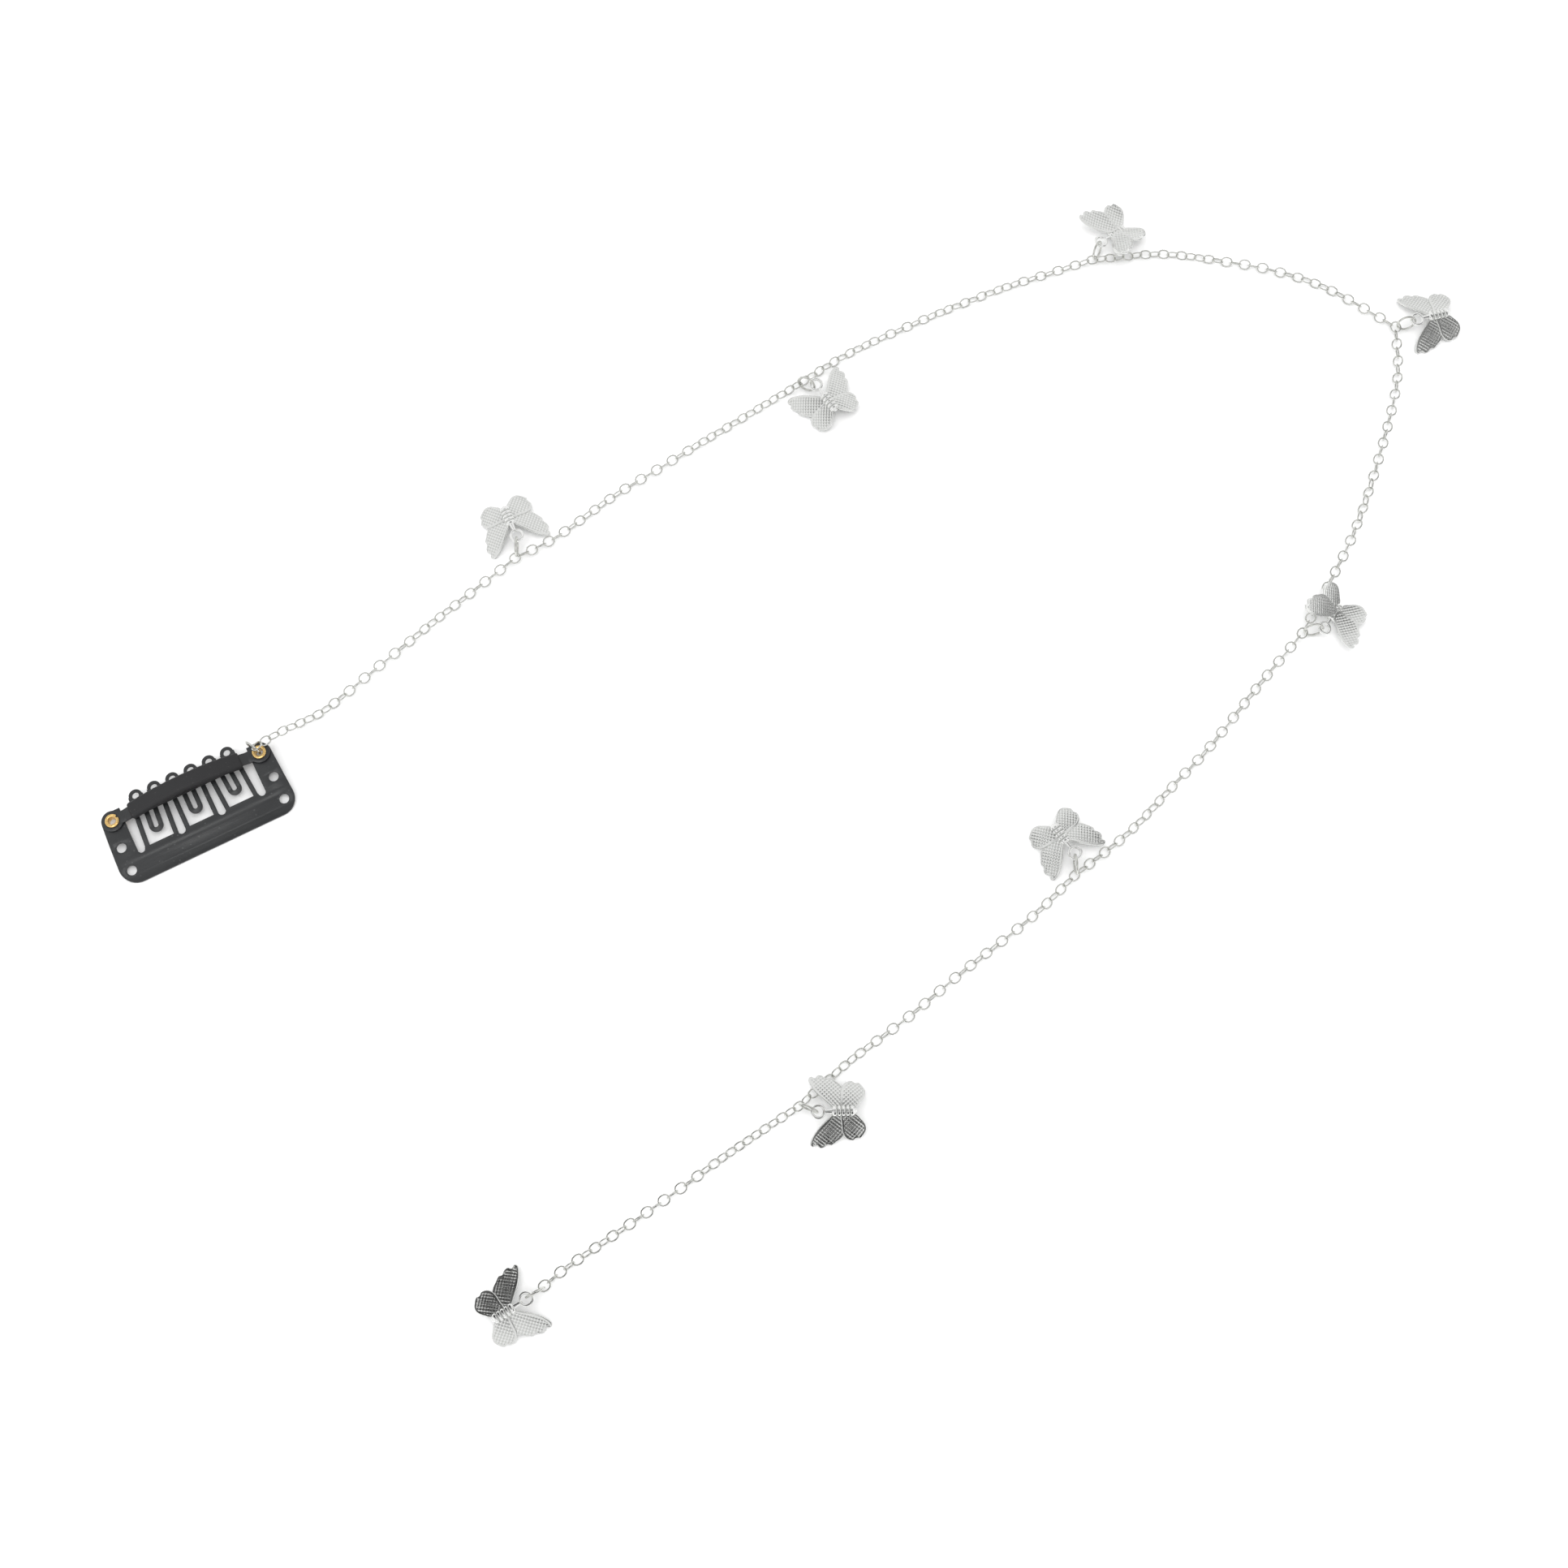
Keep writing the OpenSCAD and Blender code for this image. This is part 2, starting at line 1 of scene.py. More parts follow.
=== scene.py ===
import bmesh
import bpy
import numpy as np
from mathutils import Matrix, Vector


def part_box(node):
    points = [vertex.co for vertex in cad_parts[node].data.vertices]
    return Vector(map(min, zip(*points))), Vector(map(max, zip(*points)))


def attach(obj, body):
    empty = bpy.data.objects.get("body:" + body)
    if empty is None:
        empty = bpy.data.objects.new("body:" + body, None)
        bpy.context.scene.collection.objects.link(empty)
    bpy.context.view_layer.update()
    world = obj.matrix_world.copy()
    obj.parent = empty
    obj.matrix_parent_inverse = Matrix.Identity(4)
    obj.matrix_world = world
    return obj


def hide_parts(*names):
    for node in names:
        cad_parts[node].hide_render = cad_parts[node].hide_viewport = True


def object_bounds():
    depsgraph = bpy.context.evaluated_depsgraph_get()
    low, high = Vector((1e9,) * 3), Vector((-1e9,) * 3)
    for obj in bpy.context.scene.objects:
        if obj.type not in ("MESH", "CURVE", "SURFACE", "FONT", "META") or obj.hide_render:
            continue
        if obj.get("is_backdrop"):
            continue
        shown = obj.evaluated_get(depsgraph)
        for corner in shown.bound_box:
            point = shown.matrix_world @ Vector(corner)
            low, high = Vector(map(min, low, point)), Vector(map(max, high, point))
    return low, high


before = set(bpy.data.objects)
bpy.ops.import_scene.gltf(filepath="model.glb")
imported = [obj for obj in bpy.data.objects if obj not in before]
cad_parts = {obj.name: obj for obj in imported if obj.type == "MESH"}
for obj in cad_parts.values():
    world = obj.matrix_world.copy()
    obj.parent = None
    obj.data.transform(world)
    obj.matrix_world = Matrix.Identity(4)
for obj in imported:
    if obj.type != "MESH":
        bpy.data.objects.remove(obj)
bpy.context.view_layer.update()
MM = 0.001
UP = np.array([0.0, 0.0, 1.0])


# Clip plate and bar
# The plate is a stamped and bowed sheet of spring steel with a comb of bent strips, coated in
# black. The bar is a second steel strip that snaps over the comb between two rivets.
STAMPED_EDGE = 0.05


def node_box(node):
    """Low and high corner of a CAD node, in millimetres."""
    return [np.array(corner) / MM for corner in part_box(node)]


def unit(v):
    """Each vector divided by its own length."""
    return v / np.linalg.norm(v, axis=-1, keepdims=True)


def grain_group():
    """Node group of three noises on the piece's own coordinates: soft clouds, fine grit and a few specks."""
    group = bpy.data.node_groups.new("surface_grain", "ShaderNodeTree")
    for name in ("Cloud Scale", "Grit Scale", "Speck Scale"):
        group.interface.new_socket(name, in_out="INPUT", socket_type="NodeSocketFloat")
    for name in ("Cloud", "Grit", "Speck"):
        group.interface.new_socket(name, in_out="OUTPUT", socket_type="NodeSocketFloat")
    nodes, links = group.nodes, group.links
    inside, outside = nodes.new("NodeGroupInput"), nodes.new("NodeGroupOutput")
    place = nodes.new("ShaderNodeTexCoord")
    for name, detail in (("Cloud", 3.0), ("Grit", 5.0)):
        noise = nodes.new("ShaderNodeTexNoise")
        noise.inputs["Detail"].default_value = detail
        links.new(place.outputs["Object"], noise.inputs["Vector"])
        links.new(inside.outputs[name + " Scale"], noise.inputs["Scale"])
        links.new(noise.outputs["Fac"], outside.inputs[name])
    cells = nodes.new("ShaderNodeTexVoronoi")
    near = nodes.new("ShaderNodeMapRange")
    near.inputs["From Min"].default_value = 0.16
    near.inputs["From Max"].default_value = 0.06
    links.new(place.outputs["Object"], cells.inputs["Vector"])
    links.new(inside.outputs["Speck Scale"], cells.inputs["Scale"])
    links.new(cells.outputs["Distance"], near.inputs["Value"])
    links.new(near.outputs["Result"], outside.inputs["Speck"])
    return group


SURFACE_GRAIN = grain_group()


class Finish:
    """A material with a Principled shader, its grain group, and short calls for the links between them."""

    def __init__(self, name, cloud, grit, speck, **constants):
        self.material = bpy.data.materials.new(name)
        self.material.use_nodes = True
        self.nodes, self.links = self.material.node_tree.nodes, self.material.node_tree.links
        self.shader = self.nodes["Principled BSDF"]
        self.grain = self.nodes.new("ShaderNodeGroup")
        self.grain.node_tree = SURFACE_GRAIN
        for label, size in (("Cloud Scale", cloud), ("Grit Scale", grit), ("Speck Scale", speck)):
            self.grain.inputs[label].default_value = 1 / (size * MM)
        for label, value in constants.items():
            self.shader.inputs[label.replace("_", " ")].default_value = value

    def ranged(self, mask, low, high):
        """A number that goes from low to high as the mask goes through its middle range."""
        node = self.nodes.new("ShaderNodeMapRange")
        node.inputs["From Min"].default_value = 0.3
        node.inputs["From Max"].default_value = 0.7
        node.inputs["To Min"].default_value = low
        node.inputs["To Max"].default_value = high
        self.links.new(mask, node.inputs["Value"])
        return node.outputs["Result"]

    def mixed(self, mask, first, second):
        """A colour from first to second by the mask. Either may be a colour or another node's output."""
        node = self.nodes.new("ShaderNodeMix")
        node.data_type = "RGBA"
        self.links.new(mask, node.inputs["Factor"])
        for socket, value in ((node.inputs[6], first), (node.inputs[7], second)):
            if isinstance(value, tuple):
                socket.default_value = (*value, 1)
            else:
                self.links.new(value, socket)
        return node.outputs[2]

    def scaled(self, mask, share):
        """The mask times a share."""
        node = self.nodes.new("ShaderNodeMath")
        node.operation = "MULTIPLY"
        node.inputs[1].default_value = share
        self.links.new(mask, node.inputs[0])
        return node.outputs[0]

    def added(self, first, second):
        """The sum of two numbers that change over the surface."""
        node = self.nodes.new("ShaderNodeMath")
        self.links.new(first, node.inputs[0])
        self.links.new(second, node.inputs[1])
        return node.outputs[0]

    def bumped(self, height, depth):
        """Relief of the given depth in millimetres, from the height mask."""
        node = self.nodes.new("ShaderNodeBump")
        node.inputs["Distance"].default_value = depth * MM
        self.links.new(height, node.inputs["Height"])
        self.links.new(node.outputs["Normal"], self.shader.inputs["Normal"])

    def feed(self, label, value):
        self.links.new(value, self.shader.inputs[label])


def black_coat():
    """Semi-gloss black coating: cloudy gloss, a faint pebbled skin and a few pale specks of dust."""
    coat = Finish("black_coat", 5.0, 0.16, 1.1, IOR=1.5)
    dark = coat.mixed(coat.grain.outputs["Cloud"], (0.012, 0.013, 0.014), (0.018, 0.019, 0.020))
    coat.feed("Base Color", coat.mixed(coat.scaled(coat.grain.outputs["Speck"], 0.1), dark, (0.3, 0.3, 0.3)))
    coat.feed("Roughness", coat.ranged(coat.grain.outputs["Cloud"], 0.34, 0.42))
    coat.bumped(coat.grain.outputs["Grit"], 0.012)
    return coat.material


def dressed(obj, slot, *nodes):
    """Puts a new piece on the one body and hides the CAD nodes that it stands for. The slot is not used."""
    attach(obj, "root")
    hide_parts(*nodes)
    return obj


def eased(node, name, material, slot):
    """A merged copy of a CAD node, with its sharp rims rounded over by a narrow bevel."""
    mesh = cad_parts[node].data.copy()
    mesh.name = name
    form = bmesh.new()
    form.from_mesh(mesh)
    bmesh.ops.remove_doubles(form, verts=form.verts, dist=0.0005 * MM)
    form.to_mesh(mesh)
    form.free()
    mesh.materials.clear()
    mesh.materials.append(material)
    obj = bpy.data.objects.new(name, mesh)
    bpy.context.collection.objects.link(obj)
    bevel = obj.modifiers.new("rounded_rim", "BEVEL")
    bevel.width = STAMPED_EDGE * MM
    bevel.segments = 2
    bevel.limit_method = "ANGLE"
    bevel.angle_limit = np.radians(50)
    bevel.harden_normals = True
    mesh.shade_smooth()
    return dressed(obj, slot, node)


BLACK_COAT = black_coat()
eased("clip_plate", "comb_plate", BLACK_COAT, "black_steel")
eased("clip_bar", "snap_bar", BLACK_COAT, "black_steel")


# Grip sleeve
# A length of black rubber tube, pushed over the bowed bar so that hair doesn't slip. It is cut
# square, hugs the bar's flat section, and its wall swells a little between faint stretch marks.
FOOT_R = 1.5
BAR_RISE = 2.2
BAR_T = 0.4
TAB_R = 1.85
TAB_END = 0.2
WALL = 0.4
CLEARANCE = 0.1
BAR_W = 2.1
SLEEVE_END = 3.55
SLEEVE_ROWS = 90
SLEEVE_SIDES = 48
CUT_ROUND = 0.1
CORNER_R, BORE_CORNER_R = 0.6, 0.1
# Swell of the wall along the sleeve's half length, each with its share of the wall and its waves
BROAD_SWELL, BROAD_WAVES, BEAT_WAVES = 0.012, 31, 7
FINE_SWELL, FINE_WAVES = 0.008, 53
SWELL_ROOM = 0.03
CUT_PINCH = 0.05


def outward(points, faces):
    """Faces turned so that a closed shell's volume is positive: the sum of a . (b x c) over its
    corners, with a measured from the middle."""
    corners = np.array([face[:3] for face in faces])
    a, b, c = points[corners[:, 0]], points[corners[:, 1]], points[corners[:, 2]]
    inside_out = np.einsum("ij,ij->", a - points.mean(0), np.cross(b - a, c - a)) < 0
    return [face[::-1] for face in faces] if inside_out else faces


def mesh_piece(name, points, faces, material):
    """A smooth mesh from points in millimetres and a list of faces, with its normals outwards."""
    mesh = bpy.data.meshes.new(name)
    mesh.from_pydata((points * MM).tolist(), [], outward(points, faces))
    mesh.materials.append(material)
    mesh.shade_smooth()
    obj = bpy.data.objects.new(name, mesh)
    bpy.context.collection.objects.link(obj)
    return obj


def grid_faces(rows, columns, closed_rows):
    """Quads between neighbouring rows of a grid whose columns close on themselves, and whose
    rows do as well if closed_rows."""
    i, j = np.meshgrid(np.arange(rows if closed_rows else rows - 1), np.arange(columns), indexing="ij")
    below, right = (i + 1) % rows, (j + 1) % columns
    return np.stack([i * columns + j, i * columns + right, below * columns + right, below * columns + j],
                    axis=-1).reshape(-1, 4).tolist()


def rounded_box(width, height, radius, count):
    """Outline of a rectangle with round corners: each direction's point on a small rectangle, plus
    the corner radius along the direction itself."""
    angle = np.arange(count) * 2 * np.pi / count
    way = np.stack([np.cos(angle), np.sin(angle)], axis=-1)
    flat = np.array([width / 2 - radius, height / 2 - radius])
    return np.clip(way * 3 * flat.max(), -flat, flat) + radius * way


def sleeve_points():
    """Surface of the sleeve: an outline of rounded boxes carried along the bar's arc, out along the
    outside and back along the bore, so that the grid closes both ways."""
    rivet_low, rivet_high = node_box("rivet_right")
    rivet_at = (rivet_low + rivet_high) / 2
    foot_x = rivet_at[0] - TAB_R - TAB_END
    arch_a = 2 * np.arctan(BAR_RISE / foot_x)
    arch_r = foot_x / np.sin(arch_a) - FOOT_R
    bar_low = node_box("clip_bar")[0]
    arch_z = bar_low[2] + BAR_T / 2 + BAR_RISE - arch_r
    half_sweep = np.arcsin((rivet_at[0] - SLEEVE_END) / arch_r)
    share = np.linspace(-1, 1, SLEEVE_ROWS)
    wrap = CLEARANCE + WALL
    outer = rounded_box(BAR_W + 2 * wrap, BAR_T + 2 * wrap, CORNER_R, SLEEVE_SIDES)
    inner = rounded_box(BAR_W + 2 * CLEARANCE, BAR_T + 2 * CLEARANCE, BORE_CORNER_R, SLEEVE_SIDES)
    marks = (BROAD_SWELL * np.sin(share * BROAD_WAVES) * np.sin(share * BEAT_WAVES + 1)
             + FINE_SWELL * np.cos(share * FINE_WAVES))
    cut = np.clip((1 - np.abs(share)) * half_sweep * arch_r / CUT_ROUND, 0, 1)
    pinch = 1 - SWELL_ROOM + marks - CUT_PINCH * (1 - np.sqrt(1 - (1 - cut) ** 2))
    outside = outer[None] * pinch[:, None, None]
    rows = np.concatenate([outside, np.repeat(inner[None], 2, axis=0)])
    angle = np.concatenate([share, [1, -1]]) * half_sweep
    radius = arch_r + rows[..., 1]
    x = radius * np.sin(angle)[:, None]
    z = arch_z + radius * np.cos(angle)[:, None]
    return np.stack([x, rivet_at[1] + rows[..., 0], z], axis=-1)


def black_rubber():
    """Matte black rubber: dull, with a fine dry grain and a little lint in it."""
    rubber = Finish("black_rubber", 2.2, 0.09, 0.8, IOR=1.45)
    dark = rubber.mixed(rubber.grain.outputs["Cloud"], (0.010, 0.010, 0.011), (0.016, 0.016, 0.017))
    rubber.feed("Base Color", rubber.mixed(rubber.scaled(rubber.grain.outputs["Speck"], 0.06), dark,
                                           (0.35, 0.34, 0.33)))
    rubber.feed("Roughness", rubber.ranged(rubber.grain.outputs["Cloud"], 0.56, 0.68))
    rubber.bumped(rubber.grain.outputs["Grit"], 0.02)
    return rubber.material


sleeve = sleeve_points()
dressed(mesh_piece("rubber_sleeve", sleeve.reshape(-1, 3), grid_faces(len(sleeve), SLEEVE_SIDES, True),
                   black_rubber()), "black_rubber", "grip_sleeve")


# Rivets
# Two brass eyelets join the bar to the plate. Each is a short barrel whose top is rolled over
# into a rounded flange; the left one's flange has torn open at one place as it was rolled.
FLANGE_R = 1.2
FLANGE_T = 0.2
BORE_R = 0.65
BARREL_R = 0.8
RIVET_SIDES = 96
TEAR_ANGLE = 18
TEAR_HALF = 9
TEAR_DEPTH = 0.3
ROLL_STEPS = 13
ROLL_FULLNESS = 0.7
FLANGE_EASE = 0.04


def rivet_profile(low, high):
    """Closed profile of radius and height: up the bore, over the rolled top flange, down the barrel,
    and round the lower flange. The roll is half an ellipse from the bore to the flange's edge."""
    roll = np.radians(np.linspace(180, 0, ROLL_STEPS))
    mid, reach = (BORE_R + FLANGE_R) / 2, (FLANGE_R - BORE_R) / 2
    over = np.stack([mid + reach * np.cos(roll),
                     high - FLANGE_T + FLANGE_T * np.sin(roll) ** ROLL_FULLNESS], axis=-1)
    down = np.array([[FLANGE_R - FLANGE_EASE, high - FLANGE_T], [BARREL_R, high - FLANGE_T],
                     [BARREL_R, low + FLANGE_T]])
    under = np.stack([over[::-1, 0], low + high - over[::-1, 1]], axis=-1)
    return np.concatenate([over, down, under])


def brass():
    """Brass with a soft polish: tarnish in clouds, fine pits, and gloss that varies with them."""
    metal = Finish("brass", 0.8, 0.07, 0.5, Metallic=1.0)
    warm = metal.mixed(metal.grain.outputs["Cloud"], (0.80, 0.50, 0.16), (0.95, 0.70, 0.32))
    metal.feed("Base Color", metal.mixed(metal.scaled(metal.grain.outputs["Speck"], 0.4), warm,
                                         (0.3, 0.15, 0.05)))
    metal.feed("Roughness", metal.ranged(metal.grain.outputs["Cloud"], 0.34, 0.2))
    metal.bumped(metal.grain.outputs["Grit"], 0.01)
    return metal.material


def rivet(node, name, material, torn):
    """A profile turned round the rivet's axis. Where the flange is torn, its radius is drawn in."""
    low, high = node_box(node)
    profile = rivet_profile(low[2], high[2])
    angle = np.arange(RIVET_SIDES) * 360 / RIVET_SIDES
    off = (angle - TEAR_ANGLE + 180) % 360 - 180
    tear = TEAR_DEPTH * np.exp(-(off / TEAR_HALF) ** 4) if torn else 0 * angle
    top = np.clip((profile[:, 1] - high[2] + 2 * FLANGE_T) / FLANGE_T, 0, 1)
    out = np.clip((profile[:, 0] - BARREL_R) / (FLANGE_R - BARREL_R), 0, 1)
    radius = profile[:, 0, None] - (top * out)[:, None] * tear
    turn = np.radians(angle)
    middle = (low + high) / 2
    points = np.stack([middle[0] + radius * np.cos(turn), middle[1] + radius * np.sin(turn),
                       np.repeat(profile[:, 1, None], RIVET_SIDES, axis=1)], axis=-1)
    faces = grid_faces(len(profile), RIVET_SIDES, True)
    dressed(mesh_piece(name, points.reshape(-1, 3), faces, material), "brass", node)


BRASS = brass()
rivet("rivet_left", "eyelet_left", BRASS, True)
rivet("rivet_right", "eyelet_right", BRASS, False)


# Jump rings
# Round silver-plated wire, bent to a circle and pushed shut, so that a hair-thin joint stays
# open on one side. One hangs in the right eyelet, and one carries each charm.
RING_R = 1.6
RING_WIRE_R = 0.2
RING_STEPS = 72
RING_SIDES = 14
JOINT_GAP = 0.05
END_TAPER = 0.75
FIRST_JOINT, JOINT_TURN = 0.9, 2.3
CHARMS = 8


def silver_plate(name, worn, fresh):
    """Silver plating: cloudy gloss between a worn and a fresh tone. Where the mesh marks the relief
    as recessed, the metal is duller and its colour is darkened, a painted shade in the grooves."""
    metal = Finish(name, 1.6, 0.12, 0.9, Metallic=1.0)
    bright = metal.mixed(metal.grain.outputs["Cloud"], worn, fresh)
    depth = metal.nodes.new("ShaderNodeAttribute")
    depth.attribute_name = "painted_shade"
    # Painted shade: where the relief is recessed, the colour is mixed towards a darker grey.
    metal.feed("Base Color", metal.mixed(depth.outputs["Fac"], bright, (0.62, 0.63, 0.61)))
    gloss = metal.ranged(metal.grain.outputs["Cloud"], 0.17, 0.25)
    metal.feed("Roughness", metal.added(gloss, metal.scaled(depth.outputs["Fac"], 0.12)))
    metal.bumped(metal.grain.outputs["Grit"], 0.004)
    return metal.material


def node_axes(node):
    """Middle of a CAD node, and its directions of most, middle and least spread, from its own points."""
    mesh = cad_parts[node].data
    points = np.empty(len(mesh.vertices) * 3)
    mesh.vertices.foreach_get("co", points)
    points = points.reshape(-1, 3) / MM
    spread, axes = np.linalg.eigh(np.cov((points - points.mean(0)).T))
    along = points @ axes
    middle = axes @ ((along.min(0) + along.max(0)) / 2)
    return middle, axes[:, 2], axes[:, 1], axes[:, 0]


def ring_points(middle, across, along, start):
    """An open tube round the circle of radius RING_R in the plane of two directions, from just past
    the joint to just before it, with each end drawn in to a rounded point."""
    half_gap = JOINT_GAP / 2 / RING_R
    turn = start + np.linspace(half_gap, 2 * np.pi - half_gap, RING_STEPS)
    out = np.cos(turn)[:, None] * across + np.sin(turn)[:, None] * along
    side = np.cross(across, along)
    angle = np.arange(RING_SIDES) * 2 * np.pi / RING_SIDES
    wire = RING_WIRE_R * (np.cos(angle)[None, :, None] * out[:, None] + np.sin(angle)[None, :, None] * side)
    rings = middle + RING_R * out[:, None] + wire
    ends = middle + RING_R * out[[0, -1], None] + END_TAPER * wire[[0, -1]]
    return np.concatenate([ends[:1], rings, ends[1:]])


def capped_tube(name, rings, material):
    """A mesh over rows of rings, with a flat face at each end."""
    rows, columns = rings.shape[:2]
    last = (rows - 1) * columns
    faces = grid_faces(rows, columns, False)
    faces += [list(range(columns))[::-1], list(range(last, last + columns))]
    return mesh_piece(name, rings.reshape(-1, 3), faces, material)


WIRE_SILVER = silver_plate("wire_silver", (0.60, 0.61, 0.58), (0.76, 0.76, 0.73))
CAST_SILVER = silver_plate("cast_silver", (0.92, 0.93, 0.91), (0.97, 0.97, 0.96))
for count, node in enumerate(["clip_ring"] + [f"charm_ring_{i + 1}" for i in range(CHARMS)]):
    middle, across, along, _ = node_axes(node)
    rings = ring_points(middle, across, along, FIRST_JOINT + JOINT_TURN * count)
    dressed(capped_tube(f"jump_{node}", rings, WIRE_SILVER), "silver_plate", node)


# Cable chain
# About 280 soldered oval links of fine wire, each turned a quarter from the last, so the chain
# lies in a shallow zigzag. It is slack enough that its twist wanders along the way.
LINK_L = 1.7
LINK_W = 1.36
WIRE_R = 0.14
LINK_BEND = LINK_W / 2 + WIRE_R
ARC_STATIONS = 7
LINK_SIDES = 6
MOST_PITCH = 1.69
TWIST_SWING = 26
SWING_STEP, SWING_SHIFT = 0.34, 1.7
REST_GAP = 0.01
# The path's chosen points, a row for each stretch between two CAD links
ROUTE = [
    [[18, 8.5, 2.5], [22, 9, 1.2], [27, 9.5, 0.8], [38, 12.5, 0.8], [49, 15.5, 0.8], [61, 18.5, 0.8]],
    [[76.5, 20.6, 0.8], [88.5, 23, 0.8], [100.5, 24.5, 0.8], [113, 26, 0.8]],
    [[137.5, 29, 0.8], [150.5, 29, 0.8], [164, 28.5, 0.8], [174, 27.5, 0.8]],
    [[198, 21.5, 0.8], [206.5, 16, 0.8], [215.5, 9, 0.8], [223, 0.5, 0.8]],
    [[224, -21, 0.8], [212.5, -33, 0.8], [202.5, -42, 0.8], [193.5, -48.5, 0.8]],
    [[171.5, -60, 0.8], [159, -65.5, 0.8], [150.5, -68.5, 0.8], [139, -72.5, 0.8]],
    [[117, -78, 0.8], [102, -81, 0.8], [91, -83.5, 0.8], [79.5, -85.5, 0.8], [73.5, -87, 0.8]],
    [[55, -90, 0.8], [45.5, -91.5, 0.8], [35, -93, 0.8], [23.5, -94.5, 0.8]],
]


def link_form():
    """An oval link that lies flat: six-sided wire round two half circles, seven stations on each,
    whose middles stand apart by how much longer than wide the link is."""
    arc = np.linspace(-90, 90, ARC_STATIONS)
    turn = np.radians(np.concatenate([arc, arc + 180]))
    shift = np.repeat([1, -1], ARC_STATIONS) * (LINK_L - LINK_W) / 2
    out = np.stack([np.cos(turn), np.sin(turn), 0 * turn], axis=-1)
    path = LINK_BEND * out + shift[:, None] * [1, 0, 0]
    angle = (np.arange(LINK_SIDES) + 0.5) * 2 * np.pi / LINK_SIDES
    return path[:, None] + WIRE_R * (np.cos(angle)[:, None] * out[:, None] + np.sin(angle)[:, None] * UP)


def place_links(middle, along, normal):
    """The link form in each of many frames: its length along the first direction and its face
    towards the second."""
    form = link_form().reshape(-1, 3)
    axes = np.stack([along, np.cross(normal, along), normal], axis=1)
    points = middle[:, None] + np.einsum("pk,nkc->npc", form, axes)
    faces = np.array(grid_faces(2 * ARC_STATIONS, LINK_SIDES, True))
    faces = faces[None] + (np.arange(len(middle)) * len(form))[:, None, None]
    return points.reshape(-1, 3), faces.reshape(-1, 4).tolist()


def smooth_path(points, steps=40):
    """A Catmull-Rom curve: between two points, a cubic whose slope at each is half
    the step between that point's neighbours. Gives many points along it."""
    ends = np.concatenate([points[:1] * 2 - points[1:2], points, points[-1:] * 2 - points[-2:-1]])
    a, b, c, d = ends[:-3, None], ends[1:-2, None], ends[2:-1, None], ends[3:, None]
    t = np.linspace(0, 1, steps, endpoint=False)[None, :, None]
    curve = (b + t * (c - a) / 2 + t ** 2 * (2 * a - 5 * b + 4 * c - d) / 2
             + t ** 3 * (3 * b - a - 3 * c + d) / 2)
    return np.concatenate([curve.reshape(-1, 3), points[-1:]])


def travel(path):
    """Distance from a path's start to each of its points."""
    return np.concatenate([[0], np.cumsum(np.linalg.norm(np.diff(path, axis=0), axis=1))])


def spaced(path, count):
    """Count points at equal distances along a path, its ends included."""
    length = travel(path)
    at = np.linspace(0, length[-1], count)
    return np.stack([np.interp(at, length, path[:, k]) for k in range(3)], axis=-1)


def half_turn(angle):
    """An angle brought to within a quarter turn of zero, because a link looks the same from behind."""
    return (angle + np.pi / 2) % np.pi - np.pi / 2


def roll_frame(tangent):
    """The level direction across each tangent, and the direction square to both."""
    across = unit(np.cross(tangent, UP))
    return np.cross(across, tangent), across


def stretch(start, start_normal, end, end_normal, route, swing_phase):
    """Middles, lengthwise directions and normals of the links between two CAD links. Each normal is
    turned a quarter from the last, and the twist left over is spread along the stretch. A link
    on its side lifts the chain, so the path is raised to the links' own half height."""
    path = smooth_path(np.concatenate([[start], route, [end]]))
    gaps = int(np.ceil(travel(path)[-1] / MOST_PITCH))
    middles = spaced(path, gaps + 1)
    tangent = unit(np.gradient(middles, axis=0))
    top, across = roll_frame(tangent)
    first = np.arctan2(start_normal @ across[0], start_normal @ top[0])
    last = np.arctan2(end_normal @ across[-1], end_normal @ top[-1])
    k = np.arange(gaps + 1)
    left_over = half_turn(last - first - gaps * np.pi / 2)
    swing = np.radians(TWIST_SWING) * np.sin(k / gaps * np.pi) * np.sin(k * SWING_STEP + swing_phase)
    base = first + left_over * k / gaps + swing
    steepest = np.maximum(np.abs(np.sin(base)), np.abs(np.cos(base)))
    rest = LINK_BEND * steepest + WIRE_R + REST_GAP
    middles[1:-1, 2] = np.maximum(middles[:, 2], rest)[1:-1]
    tangent = unit(np.gradient(middles, axis=0))
    top, across = roll_frame(tangent)
    roll = base + k * np.pi / 2
    normal = np.cos(roll)[:, None] * top + np.sin(roll)[:, None] * across
    return middles[1:-1], tangent[1:-1], normal[1:-1]


held = ["first_link"] + [f"charm_link_{i + 1}" for i in range(CHARMS)]
held_axes = [node_axes(node) for node in held]
for node, (middle, along, _, normal) in zip(held, held_axes):
    points, faces = place_links(middle[None], along[None], normal[None])
    dressed(mesh_piece(f"oval_{node}", points, faces, WIRE_SILVER), "silver_plate", node)
runs = [stretch(held_axes[i][0], held_axes[i][3], held_axes[i + 1][0], held_axes[i + 1][3],
                ROUTE[i], SWING_SHIFT * i) for i in range(CHARMS)]
middles, alongs, normals = (np.concatenate(rows) for rows in zip(*runs))
points, faces = place_links(middles, alongs, normals)
dressed(mesh_piece("cable_chain", points, faces, WIRE_SILVER), "silver_plate", "chain")


# Butterfly charms
# Cast in one piece and plated: two domed forewings and hindwings with a fine cross-hatched
# field inside a smooth rim, a ribbed body, and a stem that ends in a round eye.
FORE_L, FORE_W = 5.4, 6.25
HIND_L, HIND_W = 3.7, 5.05
WING_T = 0.36
DROOP = 20
CROWN = 0.3
HIND_LIFT = 0.12
RIM_W, RIM_H = 0.22, 0.035
# Share of the painted shade that the rim gets evenly, where the field's grooves get up to all of it
RIM_SHADE = 0.4
RIM_FADE = 0.06
RIM_SPREAD = 0.7
